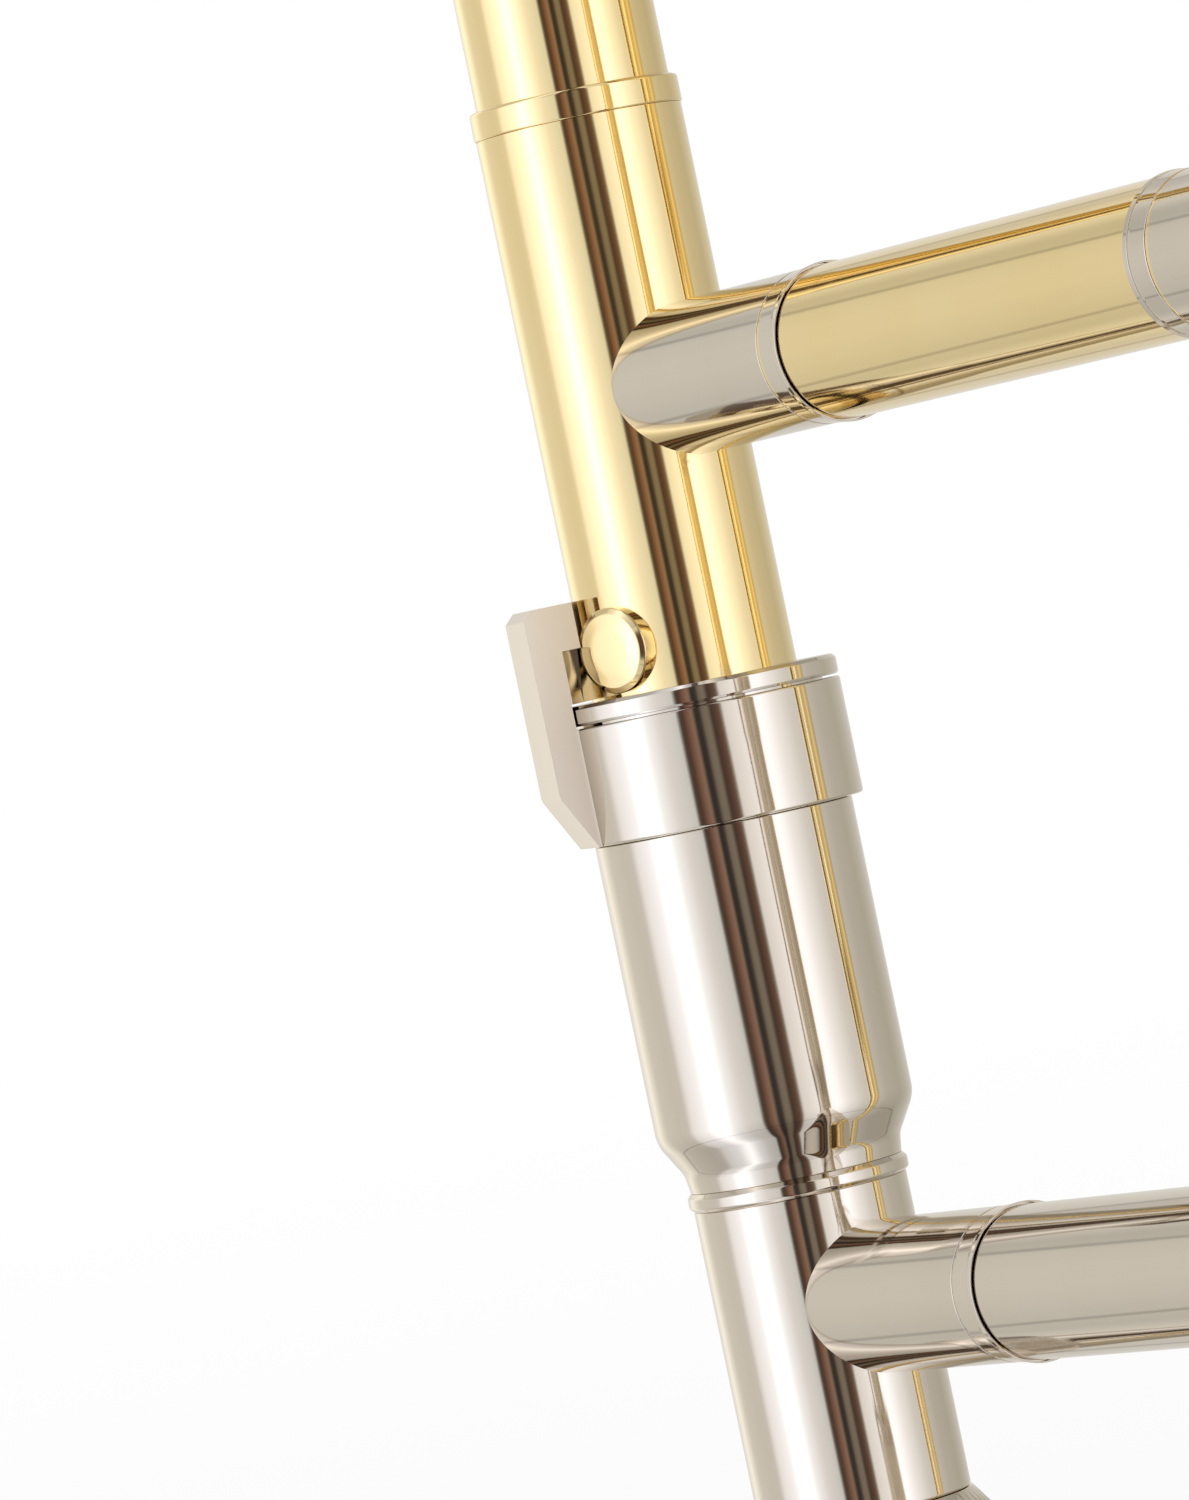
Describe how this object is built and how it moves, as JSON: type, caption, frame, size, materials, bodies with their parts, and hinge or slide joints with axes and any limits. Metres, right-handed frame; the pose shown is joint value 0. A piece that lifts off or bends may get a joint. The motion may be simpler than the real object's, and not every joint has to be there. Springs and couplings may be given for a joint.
{
  "type": "slide trombone",
  "caption": "Slide trombone with a telescoping hand slide, turning slide lock, sprung water key, tuning slide, flared bell and cup mouthpiece.",
  "frame": {"origin": "middle of the fixed brace that the left hand holds, halfway between the slide legs", "axes": "+Z along the slide legs towards the crook, +X from the bell-side leg to the mouthpiece-side leg, bell towards -Y"},
  "size_m": [0.228, 0.253, 1.1845],
  "materials": {
    "lacquered_brass": "polished brass under clear gold lacquer",
    "nickel_silver": "polished nickel silver, slightly warm",
    "silver_plate": "bright silver plate",
    "chromed_tube": "hard chrome on nickel silver, oiled",
    "rubber_tip": "black moulded rubber",
    "felt": "pressed wool felt",
    "cork": "natural cork",
    "spring_steel": "drawn spring wire"
  },
  "bodies": {
    "hand_slide": {"barrel_end_ring": "nickel_silver", "barrel_felt_bell_side": "felt", "barrel_felt_mouthpiece_side": "felt", "cork_barrel_bell_side": "nickel_silver", "cork_barrel_mouthpiece_side": "nickel_silver", "grip_tube_bell_side": "nickel_silver", "grip_tube_mouthpiece_side": "nickel_silver", "inner_brace_bar": "nickel_silver", "inner_brace_ferrule_bell_side": "nickel_silver", "inner_brace_ferrule_mouthpiece_side": "nickel_silver", "inner_tube_bell_side": "chromed_tube", "inner_tube_mouthpiece_side": "chromed_tube", "leadpipe": "chromed_tube", "lock_retaining_ring": "nickel_silver", "mouthpiece_receiver": "nickel_silver", "neck_bead_bell_side": "nickel_silver", "neck_bead_mouthpiece_side": "nickel_silver", "slide_tenon": "nickel_silver", "stocking_bell_side": "chromed_tube", "stocking_mouthpiece_side": "chromed_tube"},
    "slide_lock": {"slide_lock_ring": "nickel_silver", "slide_lock_hook": "nickel_silver"},
    "outer_slide": {"bumper_nipple": "nickel_silver", "crook_ferrule_bell_side": "lacquered_brass", "crook_ferrule_mouthpiece_side": "lacquered_brass", "crook_guard": "nickel_silver", "lock_stud": "lacquered_brass", "outer_brace_bar": "lacquered_brass", "outer_brace_ferrule_bell_side": "nickel_silver", "outer_brace_ferrule_mouthpiece_side": "nickel_silver", "outer_tube_bell_side": "lacquered_brass", "outer_tube_mouthpiece_side": "lacquered_brass", "oversleeve_bell_side": "lacquered_brass", "oversleeve_mouthpiece_side": "lacquered_brass", "rubber_bumper": "rubber_tip", "sleeve_end_ring_bell_side": "lacquered_brass", "sleeve_end_ring_mouthpiece_side": "lacquered_brass", "slide_crook": "lacquered_brass", "water_key_nipple": "lacquered_brass", "water_key_saddle": "lacquered_brass", "water_key_screw": "nickel_silver", "water_key_spring": "spring_steel"},
    "water_key": {"water_key_lever": "lacquered_brass", "water_key_cork": "cork"},
    "coupling_nut": {"bell_lock_nut": "nickel_silver"},
    "mouthpiece": {"mouthpiece": "silver_plate"},
    "bell_section": {"bell": "lacquered_brass", "bell_stem": "lacquered_brass", "bell_rim_wire": "lacquered_brass", "neckpipe": "lacquered_brass", "bell_receiver": "lacquered_brass", "tuning_sleeve_neck_side": "lacquered_brass", "tuning_sleeve_bell_side": "lacquered_brass", "front_bell_stay": "lacquered_brass", "rear_bell_stay": "lacquered_brass"},
    "tuning_slide": {"tuning_leg_neck_side": "nickel_silver", "tuning_leg_bell_side": "nickel_silver", "tuning_bow": "lacquered_brass", "tuning_stay": "lacquered_brass", "balance_weight": "lacquered_brass"}
  },
  "joints": [
    {"name": "slide_travel", "type": "slide", "parent": "hand_slide", "child": "outer_slide", "axis": [0, 0, 1], "range_m": [0, 0.56]},
    {"name": "lock_turn", "type": "hinge", "parent": "hand_slide", "child": "slide_lock", "pos_m": [0.05, 0, 0.0435], "axis": [0, 0, 1], "range_deg": [-30, 0]},
    {"name": "water_key_press", "type": "hinge", "parent": "outer_slide", "child": "water_key", "pos_m": [-0.0638, 0, 0.63], "axis": [0, -1, 0], "range_deg": [0, 15], "stiffness_Nm_per_rad": 0.12, "springref_deg": -20.05},
    {"name": "nut_turn", "type": "hinge", "parent": "hand_slide", "child": "coupling_nut", "pos_m": [-0.05, 0, -0.024], "axis": [0, 0, 1], "range_deg": [-360, 0]},
    {"name": "mouthpiece_pull", "type": "slide", "parent": "hand_slide", "child": "mouthpiece", "axis": [0, 0, -1], "range_m": [0, 0.027]},
    {"name": "bell_swing", "type": "hinge", "parent": "hand_slide", "child": "bell_section", "pos_m": [-0.05, 0, -0.04], "axis": [0, 0, 1], "range_deg": [-15, 15]},
    {"name": "tuning_pull", "type": "slide", "parent": "bell_section", "child": "tuning_slide", "axis": [0, 0, -1], "range_m": [0, 0.05]}
  ]
}
